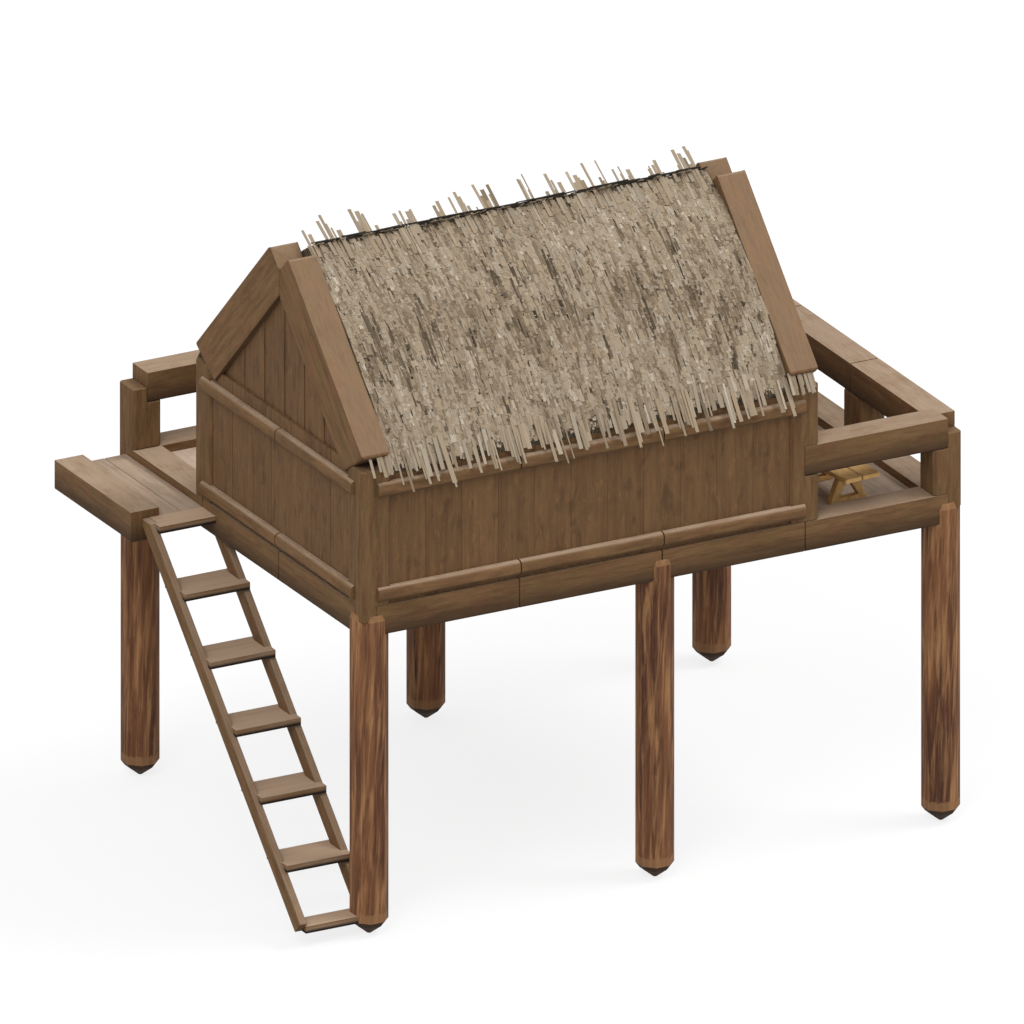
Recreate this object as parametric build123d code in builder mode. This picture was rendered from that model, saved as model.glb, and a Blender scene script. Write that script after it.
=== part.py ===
"""Stilt house: a thatched plank house with a deck and ladder on six pointed octagonal stilts.

Millimetres, +Z up, +X along the front wall, +Y from the front wall to the back deck.
The origin is on the ground under the middle of the whole building.
"""
import os
from math import cos, radians, sin, tan

from build123d import *

# Plan grid: posts and beams stand on lines one bay apart
bay = 1620
bays_long = 4
bays_deep = 3
house_bays_long = 3
house_bays_deep = 2
beam_bays = 2
landing_reach = 810

# Stilts: octagonal shafts with a bevelled point below and a bevelled head above
stilt_flats = 362
stilt_rise = 3240
stilt_bevel = 38
stilt_point_rise = 100
stilt_shoulder_rise = 55
stilt_head_rise = 110
stilt_tip_flats = 40
stilt_sides = 8

# Squared timbers of the deck ring, handrails and posts, eased underneath
timber = 320
timber_round = 28
post_bevel = 26
seam_gap = 16
seam_deep = 14
rail_rise = 810
wall_rise = 1620

# Floor boards, joists and sills
deck_drop = 85
deck_board = 60
joist_width = 180
joist_tall = 170
landing_bearer_inset = 200
landing_board_gap = 10

# Wall panels and the battens nailed over them
wall_recess = 30
wall_thick = 60
gable_recess = 60
batten_tall = 150
batten_proud = 45
batten_round = 52
lower_batten_lift = 50
upper_batten_drop = 135

# Doorway in the gable wall that faces the open deck
door_width = 820
door_height = 1850

# Roof: gable boards that meet at the ridge, thatch between them, ridge pole below it
roof_pitch = 45.5
board_wide = 470
board_heel_rise = 150
board_heel_angle = 34
board_head_half = 200
thatch_ridge_drop = 215
thatch_crown = 15
thatch_eave_drop = 200
thatch_under_ridge = 106
thatch_under_eave = 53
eave_reach = 380
fringe_drop = 210
fringe_thick = 25
ridge_pole_half = 110
ridge_pole_deep = 235

# Ladder at the landing: two raking stringers, with treads let in round them
stringer_thick = 84
stringer_deep = 165
stringer_seat = 68
stringer_left = 763
stringer_right = 38
ladder_pitch = 45
ladder_rise = 540
ladder_treads = 7
tread_thick = 75
tread_lip = 122
tread_tail = 82
tread_end = 30
tread_inset = 20
foot_tread_deep = 240

# Bench on the open deck
bench_long = 1200
bench_plank_wide = 198
bench_plank_thick = 48
bench_gap = 10
bench_tall = 360
bench_turn = 5
bench_trestle_inset = 300
bench_trestle_thick = 80
bench_leg_wide = 95
bench_head_wide = 190
bench_foot_wide = 440
bench_tie_tall = 50
bench_from_front = 660
bench_from_right = 900

# Places worked out from the sizes above
stilt_half = stilt_flats / 2
half = timber / 2
origin_x = (landing_reach + half - bays_long * bay - stilt_half) / 2
origin_y = (eave_reach - bays_deep * bay - stilt_half) / 2
ground_level = stilt_point_rise + stilt_shoulder_rise
deck_axis = ground_level + stilt_rise
beam_low = deck_axis - half
beam_top = deck_axis + half
rail_axis = deck_axis + rail_rise
post_top = deck_axis + wall_rise
deck_top = beam_top - deck_drop
deck_under = deck_top - deck_board


def grid_x(line):
    """X of a grid line, counted from the left side of the house."""
    return origin_x + line * bay


def grid_y(line):
    """Y of a grid line, counted from the front."""
    return origin_y + line * bay


left_x = grid_x(0)
landing_x = left_x - landing_reach
house_x = grid_x(house_bays_long)
right_x = grid_x(bays_long)
front_y = grid_y(0)
house_y = grid_y(house_bays_deep)
back_y = grid_y(bays_deep)
ridge_y = (front_y + house_y) / 2
wall_half = (house_y - front_y) / 2
wall_out = half - wall_recess
wall_in = wall_out - wall_thick
batten_out = half + batten_proud
gable_out = half - gable_recess
gable_in = gable_out - wall_thick

os.makedirs("parts", exist_ok=True)


def save(builder, name):
    """Label a finished piece and write it."""
    builder.part.label = name
    export_step(builder.part, f"parts/{name}.step")


def block(low, high, mode=Mode.ADD):
    """A box between two corners, in the open part."""
    size = [b - a for a, b in zip(low, high)]
    middle = tuple((a + b) / 2 for a, b in zip(low, high))
    with Locations(middle):
        Box(*size, mode=mode)


def round_underside(section):
    """Ease the two lower corners of a timber's section."""
    fillet(section.vertices().group_by(Axis.Y)[0], timber_round)


def log_x(x_low, x_high, y, z, mode=Mode.ADD):
    """A timber along X whose axis is at y, z."""
    with BuildSketch(Plane.YZ.offset(x_low)) as section:
        with Locations((y, z)):
            Rectangle(timber, timber)
        round_underside(section)
    extrude(section.sketch, amount=x_high - x_low, mode=mode)


def log_y(y_low, y_high, x, z, mode=Mode.ADD):
    """A timber along Y whose axis is at x, z."""
    with BuildSketch(Plane.XZ.offset(-y_high)) as section:
        with Locations((x, z)):
            Rectangle(timber, timber)
        round_underside(section)
    extrude(section.sketch, amount=y_high - y_low, mode=mode)


def seam_ring(plane, middle):
    """Cut a shallow groove round a timber, where two lengths of it are scarfed together."""
    with BuildSketch(plane) as ring:
        with Locations(middle):
            Rectangle(timber, timber)
        round_underside(ring)
        offset(amount=-seam_deep, mode=Mode.SUBTRACT)
    extrude(ring.sketch, amount=seam_gap / 2, both=True, mode=Mode.SUBTRACT)


def seams_x(columns, y, z):
    """Groove a timber along X at some grid lines."""
    for column in columns:
        seam_ring(Plane.YZ.offset(grid_x(column)), (y, z))


def seams_y(rows, x, z):
    """Groove a timber along Y at some grid lines."""
    for row in rows:
        seam_ring(Plane.XZ.offset(-grid_y(row)), (x, z))


def housing_x(x_low, x_high, y, z):
    """Cut the squared housing of a timber along X."""
    block((x_low, y - half, z - half), (x_high, y + half, z + half), Mode.SUBTRACT)


def housing_y(y_low, y_high, x, z):
    """Cut the squared housing of a timber along Y."""
    block((x - half, y_low, z - half), (x + half, y_high, z + half), Mode.SUBTRACT)


def across_house(points, x_low, x_high, mode=Mode.ADD):
    """A prism along X over an outline of (y, z) points."""
    with BuildSketch(Plane.YZ.offset(x_low)) as section:
        with BuildLine():
            Polyline(*points, close=True)
        make_face()
    extrude(section.sketch, amount=x_high - x_low, mode=mode)


def octagon(flats, x, y):
    """A stilt's section, in the open sketch."""
    with Locations((x, y)):
        RegularPolygon(flats / 2, stilt_sides, major_radius=False, rotation=180 / stilt_sides)


def cut_by_stilt(x, y):
    """Cut away what a stilt's shaft passes through."""
    with BuildSketch() as section:
        octagon(stilt_flats, x, y)
    extrude(section.sketch, amount=deck_axis, mode=Mode.SUBTRACT)


def gather(pieces, name):
    """Write several separate pieces of one kind as one node."""
    with BuildPart() as group:
        add(pieces)
    save(group, name)


# Stilts

def stilt(column, row):
    """One octagonal stilt, its forked head cut to the timbers that it carries."""
    x = grid_x(column)
    y = grid_y(row)
    steps = (
        (0, stilt_tip_flats),
        (stilt_point_rise, stilt_flats - 2 * stilt_bevel),
        (ground_level, stilt_flats),
        (deck_axis, stilt_flats),
        (deck_axis + stilt_head_rise, stilt_flats - 2 * stilt_bevel),
    )
    with BuildPart() as shaft:
        for height, flats in steps:
            with BuildSketch(Plane.XY.offset(height)):
                octagon(flats, x, y)
        loft(ruled=True)
        log_x(left_x, right_x, y, deck_axis, Mode.SUBTRACT)
        for side_x in (left_x, right_x):
            log_y(front_y, back_y, side_x, deck_axis, Mode.SUBTRACT)
        block((x - half, y - half, deck_axis), (x + half, y + half, post_top), Mode.SUBTRACT)
        side = joist_width / 2
        block((x - side, front_y + half, beam_low), (x + side, back_y - half, post_top), Mode.SUBTRACT)
        block((landing_x, house_y, deck_under), (left_x - half, back_y, post_top), Mode.SUBTRACT)
    return shaft.part


stilt_columns = range(0, bays_long + 1, beam_bays)
gather([stilt(column, 0) for column in stilt_columns], "front_stilts")
gather([stilt(column, bays_deep) for column in stilt_columns], "back_stilts")


# Ring of deck beams: the long ones run through, the side ones are halved over their inner ends

def long_beam(column, row):
    """One beam along the front or the back, from stilt to stilt."""
    next_column = column + beam_bays
    start = grid_x(column) + (seam_gap / 2 if column else 0)
    end = grid_x(next_column) - (0 if next_column == bays_long else seam_gap / 2)
    with BuildPart() as beam:
        log_x(start, end, grid_y(row), deck_axis)
        seams_x(range(column + 1, next_column), grid_y(row), deck_axis)
    return beam.part


gather([long_beam(column, 0) for column in stilt_columns[:-1]], "front_beams")
gather([long_beam(column, bays_deep) for column in stilt_columns[:-1]], "back_beams")

for side, side_x in (("left", left_x), ("right", right_x)):
    with BuildPart() as side_beam:
        log_y(front_y, back_y, side_x, deck_axis)
        seams_y(range(1, bays_deep), side_x, deck_axis)
        for row_y in (front_y, back_y):
            housing_x(left_x, right_x, row_y, deck_axis)
    save(side_beam, f"{side}_beam")

# Landing at the head of the ladder

with BuildPart() as landing_beam:
    log_y(house_y, back_y, landing_x, deck_axis)
save(landing_beam, "landing_beam")


def landing_bearer(middle_y):
    """A short bearer from the ring beam to the landing's edge beam."""
    with BuildPart() as bearer:
        block(
            (landing_x + half, middle_y - joist_width / 2, deck_under - joist_tall),
            (left_x - half, middle_y + joist_width / 2, deck_under),
        )
    return bearer.part


bearer_rows = (house_y + landing_bearer_inset, back_y - landing_bearer_inset)
gather([landing_bearer(middle_y) for middle_y in bearer_rows], "landing_bearers")

landing_mid = (landing_x + left_x) / 2
landing_edges = (
    (landing_x + half, landing_mid - landing_board_gap / 2),
    (landing_mid + landing_board_gap / 2, left_x - half),
)


def landing_board(edges):
    """One broad board of the landing."""
    with BuildPart() as board:
        block((edges[0], house_y, deck_under), (edges[1], back_y, deck_top))
    return board.part


gather([landing_board(edges) for edges in landing_edges], "landing_boards")

# Joists, sills and floors

def joist(line):
    """A joist from the front beam to the back beam."""
    x = grid_x(line)
    with BuildPart() as bearer:
        block(
            (x - joist_width / 2, front_y + half, deck_under - joist_tall),
            (x + joist_width / 2, back_y - half, deck_under),
        )
    return bearer.part


deck_joist_line = (house_bays_long + bays_long) / 2
joist_lines = (*range(1, house_bays_long + 1), deck_joist_line)
gather([joist(line) for line in joist_lines], "joists")

with BuildPart() as back_sill:
    block((left_x + half, house_y - half, deck_under), (house_x + half, house_y + half, beam_top))
save(back_sill, "back_sill")

with BuildPart() as right_sill:
    block((house_x - half, front_y + half, deck_under), (house_x + half, house_y - half, beam_top))
save(right_sill, "right_sill")

with BuildPart() as house_floor:
    block((left_x + half, front_y + half, deck_under), (house_x - half, house_y - half, deck_top))
save(house_floor, "house_floor")

with BuildPart() as back_deck:
    block((left_x + half, house_y + half, deck_under), (house_x + half, back_y - half, deck_top))
save(back_deck, "back_deck")

with BuildPart() as open_deck:
    block((house_x + half, front_y + half, deck_under), (right_x - half, back_y - half, deck_top))
save(open_deck, "open_deck")


# Roof lines, all measured from the ridge: h is the level distance from it, z the height

def board_line(h):
    """Height of the gable boards' upper edge at h."""
    return post_top + board_heel_rise + (wall_half + half - h) * tan(radians(roof_pitch))


board_drop = board_wide / cos(radians(roof_pitch))
heel_half = wall_half + half
heel_run = board_drop / (tan(radians(roof_pitch)) + tan(radians(board_heel_angle)))
head_drop = board_head_half / tan(radians(roof_pitch))
board_outline = (
    (heel_half, board_line(heel_half)),
    (board_head_half, board_line(board_head_half)),
    (0, board_line(board_head_half) - head_drop),
    (0, board_line(0) - board_drop),
    (heel_half - heel_run, board_line(heel_half - heel_run) - board_drop),
)
slopes = (("front", -1), ("back", 1))


def on_slope(outline, sign):
    """An outline of (h, z) points as (y, z) points on one side of the ridge."""
    return [(ridge_y + sign * h, z) for h, z in outline]


gables = (("left", left_x), ("right", house_x))
for gable, gable_x in gables:
    for slope, sign in slopes:
        with BuildPart() as gable_board:
            across_house(on_slope(board_outline, sign), gable_x - half, gable_x + half)
        save(gable_board, f"{gable}_{slope}_gable_board")

# House corner posts, notched for the beams, the handrail and the gable boards

def corner_post(x, y):
    """A corner post of the house, standing on the ring and seating two roof boards."""
    with BuildPart() as post:
        block((x - half, y - half, deck_axis), (x + half, y + half, post_top))
        chamfer(post.edges().filter_by(Axis.Z), post_bevel)
        housing_x(left_x, right_x, front_y, deck_axis)
        housing_y(front_y, back_y, left_x, deck_axis)
        housing_y(front_y, house_y + half, house_x, deck_axis)
        housing_x(house_x, right_x, front_y, rail_axis)
        for slope, sign in slopes:
            across_house(on_slope(board_outline, sign), x - half, x + half, Mode.SUBTRACT)
    return post.part


gather([corner_post(x, front_y) for x in (left_x, house_x)], "front_corner_posts")
gather([corner_post(x, house_y) for x in (left_x, house_x)], "back_corner_posts")

# Railing round the open deck

def rail_post(column, row):
    """A railing post, halved under the handrail and over the ring beam."""
    x = grid_x(column)
    y = grid_y(row)
    with BuildPart() as post:
        block((x - half, y - half, deck_axis), (x + half, y + half, rail_axis))
        chamfer(post.edges().filter_by(Axis.Z), post_bevel)
        for level in (deck_axis, rail_axis):
            housing_x(left_x, right_x, front_y, level)
            housing_x(left_x, right_x, back_y, level)
            housing_y(front_y, back_y, right_x, level)
        housing_y(front_y, back_y, left_x, deck_axis)
    return post.part


gather([rail_post(column, bays_deep) for column in range(bays_long)], "back_rail_posts")
gather([rail_post(bays_long, row) for row in range(bays_deep + 1)], "right_rail_posts")

with BuildPart() as front_handrail:
    log_x(house_x, right_x, front_y, rail_axis)
save(front_handrail, "front_handrail")

with BuildPart() as back_handrail:
    log_x(left_x, right_x, back_y, rail_axis)
    seams_x(range(1, bays_long), back_y, rail_axis)
save(back_handrail, "back_handrail")

with BuildPart() as right_handrail:
    log_y(front_y, back_y, right_x, rail_axis)
    seams_y(range(1, bays_deep), right_x, rail_axis)
    for row_y in (front_y, back_y):
        housing_x(left_x, right_x, row_y, rail_axis)
save(right_handrail, "right_handrail")

# Thatch: a crowned slab on each slope, ending in a thin ragged-edge fringe past the eave
under_ridge = board_line(0) - thatch_ridge_drop - thatch_under_ridge
eave_z = board_line(heel_half) - thatch_eave_drop
under_eave = eave_z - thatch_under_eave
fringe_half = wall_half + eave_reach
fringe_z = board_line(fringe_half) - fringe_drop
under_slope = (under_ridge - under_eave) / heel_half


def under_line(h):
    """Height of the thatch's underside at h."""
    return under_ridge - h * under_slope


for slope, sign in slopes:
    middle_h = heel_half / 2
    spine = [
        (0, board_line(0) - thatch_ridge_drop),
        (middle_h, board_line(middle_h) + thatch_crown),
        (heel_half, eave_z),
    ]
    rim = [(heel_half, eave_z), (fringe_half, fringe_z), (fringe_half, fringe_z - fringe_thick)]
    rim += [(heel_half, under_eave), (0, under_ridge), (0, board_line(0) - thatch_ridge_drop)]
    with BuildPart() as thatch:
        with BuildSketch(Plane.YZ.offset(left_x + half)):
            with BuildLine():
                ThreePointArc(*on_slope(spine, sign))
                Polyline(*on_slope(rim, sign))
            make_face()
        extrude(amount=house_x - left_x - timber)
    save(thatch, f"{slope}_thatch")

pole_shoulder = under_line(ridge_pole_half)
pole_outline = (
    (ridge_y, under_ridge),
    (ridge_y + ridge_pole_half, pole_shoulder),
    (ridge_y + ridge_pole_half, under_ridge - ridge_pole_deep),
    (ridge_y - ridge_pole_half, under_ridge - ridge_pole_deep),
    (ridge_y - ridge_pole_half, pole_shoulder),
)
with BuildPart() as ridge_pole:
    across_house(pole_outline, left_x + half, house_x - half)
save(ridge_pole, "ridge_pole")

# Wall panels: the long walls are bevelled under the thatch, the end walls stop at the gable panels
for slope, sign in slopes:
    wall_outline = [
        (wall_half + wall_out, beam_top),
        (wall_half + wall_out, under_line(wall_half + wall_out)),
        (wall_half + wall_in, under_line(wall_half + wall_in)),
        (wall_half + wall_in, beam_top),
    ]
    with BuildPart() as long_wall:
        across_house(on_slope(wall_outline, sign), left_x + half, house_x - half)
    save(long_wall, f"{slope}_wall")

door_low = ridge_y - door_width / 2
door_high = ridge_y + door_width / 2
door_top = deck_top + door_height


def end_wall(x_low, x_high, y_low, y_high):
    """A stretch of end wall, cut away under the gable boards."""
    with BuildPart() as panel:
        block((x_low, y_low, beam_top), (x_high, y_high, post_top))
        for slope, sign in slopes:
            across_house(on_slope(board_outline, sign), x_low, x_high, Mode.SUBTRACT)
    return panel


save(end_wall(left_x - wall_out, left_x - wall_in, front_y + half, house_y - half), "left_wall")
save(end_wall(house_x + wall_in, house_x + wall_out, front_y + half, door_low), "right_wall_front")
save(end_wall(house_x + wall_in, house_x + wall_out, door_high, house_y - half), "right_wall_back")

gable_half = heel_half - (board_drop - board_heel_rise) / tan(radians(roof_pitch))
gable_outline = (
    (ridge_y - gable_half, post_top),
    (ridge_y + gable_half, post_top),
    (ridge_y, board_line(0) - board_drop),
)
with BuildPart() as left_gable:
    across_house(gable_outline, left_x - gable_out, left_x - gable_in)
save(left_gable, "left_gable")

door_sill = (house_x + gable_in, door_low, beam_top)
with BuildPart() as right_gable:
    across_house(gable_outline, house_x + gable_in, house_x + gable_out)
    block(door_sill, (house_x + gable_out, door_high, post_top))
    block(door_sill, (house_x + gable_out, door_high, door_top), Mode.SUBTRACT)
save(right_gable, "right_gable")

# Battens: a lower and an upper row on each wall, one length a bay, notched over the posts
batten_levels = (
    beam_top + lower_batten_lift + batten_tall / 2,
    post_top - upper_batten_drop - batten_tall / 2,
)
batten_deep = batten_out - wall_out


def batten(plane, sign, middle, run):
    """One length of batten, extruded along the plane's normal and rounded on its outer edges."""
    with BuildPart() as length:
        with BuildSketch(plane) as section:
            with Locations(middle):
                Rectangle(batten_deep, batten_tall)
            outer = section.vertices().sort_by(Axis.X, reverse=sign > 0)[:2]
            fillet(outer, batten_round)
        extrude(amount=run)
        for x in (left_x, house_x):
            for y in (front_y, house_y):
                block((x - half, y - half, deck_axis), (x + half, y + half, post_top), Mode.SUBTRACT)
    return length.part


def long_battens(sign):
    """Both batten rows of a long wall."""
    middle_y = ridge_y + sign * (wall_half + (batten_out + wall_out) / 2)
    rows = []
    for level in batten_levels:
        for line in range(house_bays_long):
            plane = Plane.YZ.offset(grid_x(line) + seam_gap / 2)
            rows.append(batten(plane, sign, (middle_y, level), bay - seam_gap))
    return rows


def end_battens(sign, x, breaks):
    """Both batten rows of an end wall, in lengths between pairs of breaks."""
    middle_x = x + sign * (batten_out + wall_out) / 2
    rows = []
    for level in batten_levels:
        for start, end in breaks:
            plane = Plane.XZ.offset(-end + seam_gap / 2)
            rows.append(batten(plane, sign, (middle_x, level), end - start - seam_gap))
    return rows


gather(long_battens(-1), "front_battens")
gather(long_battens(1), "back_battens")
left_breaks = [(grid_y(row), grid_y(row + 1)) for row in range(house_bays_deep)]
gather(end_battens(-1, left_x, left_breaks), "left_battens")
gather(end_battens(1, house_x, ((front_y, door_low), (door_high, house_y))), "right_battens")

# Ladder: the stringers rake at the slope of the treads, with their feet at ground level
rake = radians(ladder_pitch)
stringer_level_deep = stringer_deep / sin(rake)
seat_z = deck_top - stringer_seat
foot_y = house_y - (seat_z - ground_level) / tan(rake)
stringer_outline = (
    (foot_y, ground_level),
    (house_y, seat_z),
    (house_y, deck_top),
    (house_y - stringer_level_deep + stringer_seat / tan(rake), deck_top),
    (foot_y - stringer_deep * sin(rake), ground_level + stringer_deep * cos(rake)),
)
left_stringer_x = left_x - stringer_left
right_stringer_x = left_x - stringer_right

with BuildPart() as ladder_left_stringer:
    across_house(stringer_outline, left_stringer_x - stringer_thick, left_stringer_x)
save(ladder_left_stringer, "ladder_left_stringer")

with BuildPart() as ladder_right_stringer:
    across_house(stringer_outline, right_stringer_x - stringer_thick, right_stringer_x)
    block(
        (right_stringer_x - stringer_thick, front_y, deck_axis),
        (right_stringer_x, house_y, post_top),
        Mode.SUBTRACT,
    )
    log_y(front_y, back_y, left_x, deck_axis, Mode.SUBTRACT)
    cut_by_stilt(left_x, front_y)
save(ladder_right_stringer, "ladder_right_stringer")


def tread(step):
    """One tread, counted down from the landing and notched round the stringers."""
    top = deck_top - step * ladder_rise
    tail = foot_y + (top - ground_level) / tan(rake)
    y_low = tail - stringer_level_deep - tread_lip
    y_high = tail + tread_tail
    x_low = left_stringer_x - tread_end
    x_high = right_stringer_x - tread_inset
    if step == 0:
        y_high = house_y
        x_high = left_x - half
    if step == ladder_treads - 1:
        y_low = y_high - foot_tread_deep
        x_low = left_stringer_x
        x_high = right_stringer_x - stringer_thick
    with BuildPart() as board:
        block((x_low, y_low, top - tread_thick), (x_high, y_high, top))
        for x in (left_stringer_x, right_stringer_x):
            across_house(stringer_outline, x - stringer_thick, x, Mode.SUBTRACT)
        cut_by_stilt(left_x, front_y)
    return board.part


gather([tread(step) for step in range(ladder_treads)], "ladder_treads")

# Bench, turned a little on the deck
bench_place = Plane(
    origin=(right_x - bench_from_right, front_y + bench_from_front, deck_top),
    x_dir=(cos(radians(bench_turn)), sin(radians(bench_turn)), 0),
    z_dir=(0, 0, 1),
)
seat_under = bench_tall - bench_plank_thick
plank_shift = (bench_plank_wide + bench_gap) / 2

with BuildPart() as bench_seat:
    with BuildSketch(bench_place.offset(seat_under)):
        with Locations((-plank_shift, 0), (plank_shift, 0)):
            Rectangle(bench_plank_wide, bench_long)
    extrude(amount=bench_plank_thick)
save(bench_seat, "bench_seat")


def trestle(shift):
    """A splayed pair of bench legs with a low tie."""
    side = Plane(
        origin=bench_place.from_local_coords(Vector(0, shift + bench_trestle_thick / 2, 0)),
        x_dir=bench_place.x_dir,
        z_dir=-bench_place.y_dir,
    )
    inner_foot = bench_foot_wide / 2 - bench_leg_wide
    inner_top = seat_under * (1 - bench_leg_wide / bench_foot_wide)
    with BuildPart() as legs:
        with BuildSketch(side):
            with BuildLine():
                Polyline(
                    (-bench_foot_wide / 2, 0),
                    (bench_foot_wide / 2, 0),
                    (bench_head_wide / 2, seat_under),
                    (-bench_head_wide / 2, seat_under),
                    close=True,
                )
            make_face()
            with BuildLine():
                Polyline(
                    (-inner_foot, bench_tie_tall),
                    (inner_foot, bench_tie_tall),
                    (0, inner_top),
                    close=True,
                )
            make_face(mode=Mode.SUBTRACT)
        extrude(amount=bench_trestle_thick)
    return legs.part


trestle_shift = bench_long / 2 - bench_trestle_inset
gather([trestle(shift) for shift in (-trestle_shift, trestle_shift)], "bench_legs")
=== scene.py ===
"""Looks of the stilt house: weathered timber, plank walls and decks, straw thatch, bench and stage.

Metres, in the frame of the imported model: +X along the front wall, +Y to the back deck, +Z up.
"""
import math

import bmesh
import bpy
import numpy as np
from bpy.props import FloatProperty, FloatVectorProperty, IntProperty, PointerProperty
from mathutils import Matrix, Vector


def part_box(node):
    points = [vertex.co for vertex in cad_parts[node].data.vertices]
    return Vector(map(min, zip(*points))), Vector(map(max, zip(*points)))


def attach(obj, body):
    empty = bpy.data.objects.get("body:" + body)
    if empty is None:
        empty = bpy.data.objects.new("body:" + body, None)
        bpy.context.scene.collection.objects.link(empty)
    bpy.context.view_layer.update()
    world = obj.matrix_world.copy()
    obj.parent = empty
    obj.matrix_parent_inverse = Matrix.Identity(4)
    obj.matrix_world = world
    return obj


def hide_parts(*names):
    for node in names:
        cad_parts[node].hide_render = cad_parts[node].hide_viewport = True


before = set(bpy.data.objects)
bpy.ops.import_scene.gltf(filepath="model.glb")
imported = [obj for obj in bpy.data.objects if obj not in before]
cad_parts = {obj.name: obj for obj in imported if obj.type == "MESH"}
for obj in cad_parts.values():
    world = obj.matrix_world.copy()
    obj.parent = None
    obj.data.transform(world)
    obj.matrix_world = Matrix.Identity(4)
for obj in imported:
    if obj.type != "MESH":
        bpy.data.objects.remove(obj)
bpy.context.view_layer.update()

bl_info = {
    "name": "Stilt house looks",
    "version": (1, 0, 0),
    "blender": (4, 5, 0),
    "location": "View3D > Sidebar > Stilt house",
    "description": "Dresses the packed stilt house with planks, straw, worn timber and a stage",
    "category": "Object",
}

X, Y, Z = range(3)
BODY = "root"


def paint(red, green, blue):
    """A screen colour, 0 to 255 a channel, as the linear colour that shaders take."""
    shares = [channel / 255 for channel in (red, green, blue)]
    return tuple(s / 12.92 if s <= 0.04045 else ((s + 0.055) / 1.055) ** 2.4 for s in shares)


def colour(label, note, default):
    """A colour that a user can change."""
    return FloatVectorProperty(
        name=label, description=note, subtype="COLOR", min=0, max=1, default=default
    )


def length(label, note, default):
    """A length that a user can change."""
    return FloatProperty(name=label, description=note, unit="LENGTH", min=0, default=default)


def number_of(label, note, default, least=1):
    """A number of like things that a user can change."""
    return IntProperty(name=label, description=note, min=least, default=default)


def strength_of(label, note, default, most=10):
    """A strength of light that a user can change."""
    return FloatProperty(name=label, description=note, min=0, max=most, default=default)


class TimberLook(bpy.types.PropertyGroup):
    """Hewn timbers: beams, posts, rails, battens and the ladder"""

    dark: colour("Dark grain", "Late wood in the grain", paint(92, 65, 40))
    light: colour("Light grain", "Early wood in the grain", paint(122, 92, 60))
    olive: colour("Olive stain", "Patches of old lichen stain", paint(106, 84, 50))
    red: colour("Red stain", "Patches of warm heartwood", paint(114, 78, 54))
    amber: colour("Amber", "Flecks of resin", paint(148, 103, 62))
    # Pale tops: partly sun bleaching, partly painted top light.
    weathered_and_lit_top: colour("Bleached", "Faces that the sun reaches from above", paint(170, 148, 126))
    worn: colour("Worn", "Brown wear on the bleached faces", paint(136, 110, 86))
    # Also painted shade: undersides and the lower part of coursed timbers; real darkness only in
    # the drying checks.
    soot_and_shade: colour("Soot", "Undersides, lower edges and drying checks", paint(44, 29, 15))
    edge: length("Worn edge", "Width of the rounding on each edge", 0.012)
    gable_edge: length("Gable board edge", "Width of the rounding on a gable board", 0.034)


class StiltLook(bpy.types.PropertyGroup):
    """Stilts, split from red heartwood"""

    dark: colour("Dark streak", "Dark bands of heartwood", paint(70, 41, 28))
    red: colour("Red streak", "Red bands of heartwood", paint(120, 79, 51))
    tan: colour("Tan streak", "Pale bands of sapwood", paint(170, 126, 84))
    cut: colour("Fresh cut", "Bevels at the head and the band above the foot", paint(140, 103, 70))
    # Painted shade: the colour of the stilts' faces that look down, at the point.
    tip: colour("Tip", "The charred point", paint(38, 25, 15))
    shoulder: length("Shoulder", "Height of the shoulder over the tip", 0.155)
    band: length("Band", "Height of the pale band over the shoulder", 0.09)


class PlankLook(bpy.types.PropertyGroup):
    """Boards of the walls, gables, decks and treads"""

    wall_width: length("Wall board", "Width of a wall board", 0.405)
    deck_width: length("Deck board", "Width of a deck board", 0.405)
    seam: length("Seam", "Gap between two wall boards", 0.0015)
    chamfer: length("Chamfer", "Rounding of a board's edges", 0.003)
    nosing: length("Tread nosing", "Rounding of a tread's edges", 0.02)
    unevenness: length("Unevenness", "How far boards stand in or out", 0.003)
    wall_lean: length("Wall lean", "Set-back of one edge of a wall board", 0.002)
    gable_lean: length("Gable lean", "Set-back of one edge of a gable board", 0.012)
    tread_thick: length("Tread", "Thickness of a ladder tread", 0.075)
    treads: number_of("Treads", "Number of ladder treads", 7, 2)
    wall: colour("Wall", "Wall and gable boards", paint(116, 86, 56))
    wall_dark: colour("Wall shade", "Dark grain of the wall boards", paint(92, 66, 42))
    amber: colour("Amber", "Flecks of resin in the wall boards", paint(142, 101, 62))
    # The deck colours are paler than the boards' own colour: painted light that offsets the shade
    # on the open deck.
    deck: colour("Deck", "Worn boards of the decks", paint(194, 174, 155))
    deck_dark: colour("Deck shade", "Dark grain of the deck boards", paint(171, 149, 129))
    landing: colour("Landing", "Worn boards of the landing", paint(176, 155, 134))
    landing_dark: colour("Landing shade", "Dark grain of landing and treads", paint(152, 130, 110))
    # Tread tops: partly wear, partly painted top light.
    tread: colour("Tread", "Worn tops of the treads", paint(190, 162, 136))
    # Also painted shade: undersides of the boards and the lower part of each tread's front.
    soot_and_shade: colour("Soot", "Undersides of the boards", paint(24, 17, 12))


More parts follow.
